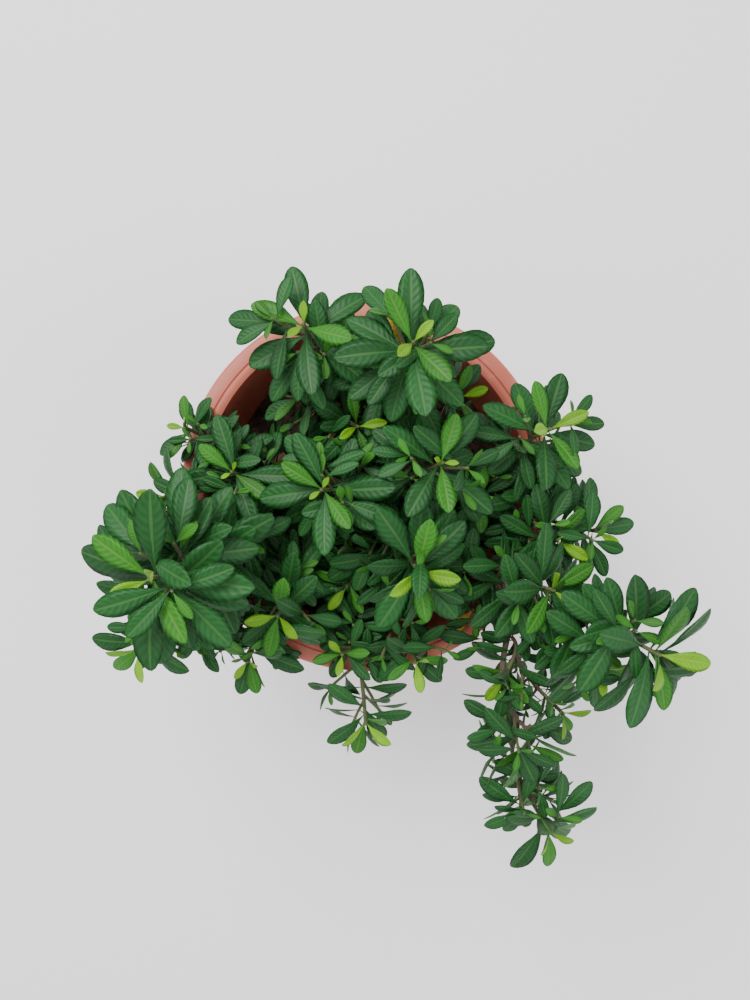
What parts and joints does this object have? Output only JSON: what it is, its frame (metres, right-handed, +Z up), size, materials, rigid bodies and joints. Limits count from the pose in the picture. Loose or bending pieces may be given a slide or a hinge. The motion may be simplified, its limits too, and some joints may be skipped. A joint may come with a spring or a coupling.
{
  "type": "potted dwarf ixora shrub",
  "caption": "Low, spreading dwarf ixora shrub in a round plastic pot, with leaf rosettes over the rim and one long trailing branch",
  "frame": {"origin": "centre of the pot's flat underside, on the surface that the pot stands on", "axes": "+Z up along the pot's axis; the long trailing branch hangs over the rim between +X and -Y"},
  "size_m": [0.454, 0.4847, 0.4265],
  "materials": {
    "pot": "satin",
    "soil": "matte",
    "bark": "matte",
    "leaves": "satin"
  },
  "bodies": {
    "root": {"pot": "pot", "soil": "soil", "trunk": "bark", "bough_back": "bark", "bough_left": "bark", "bough_front_left": "bark", "bough_front": "bark", "bough_front_right": "bark", "bough_right": "bark", "bough_centre": "bark", "bough_left_high": "bark", "bough_far_right": "bark", "bough_cascade": "bark", "bough_cascade_low": "bark", "foliage_back_left": "leaves", "foliage_back_right": "leaves", "foliage_back_inner": "leaves", "foliage_centre": "leaves", "foliage_centre_right": "leaves", "foliage_front_centre": "leaves", "foliage_left_upper": "leaves", "foliage_left_back": "leaves", "foliage_left_high": "leaves", "foliage_left_far": "leaves", "foliage_front_left": "leaves", "foliage_front_left_low": "leaves", "foliage_front_low": "leaves", "foliage_front_side": "leaves", "foliage_right_back": "leaves", "foliage_right_inner": "leaves", "foliage_right_far": "leaves", "foliage_right_front": "leaves", "foliage_far_right": "leaves", "foliage_far_right_low": "leaves", "foliage_cascade_inner": "leaves", "foliage_cascade_middle": "leaves", "foliage_cascade_end": "leaves"}
  },
  "joints": []
}
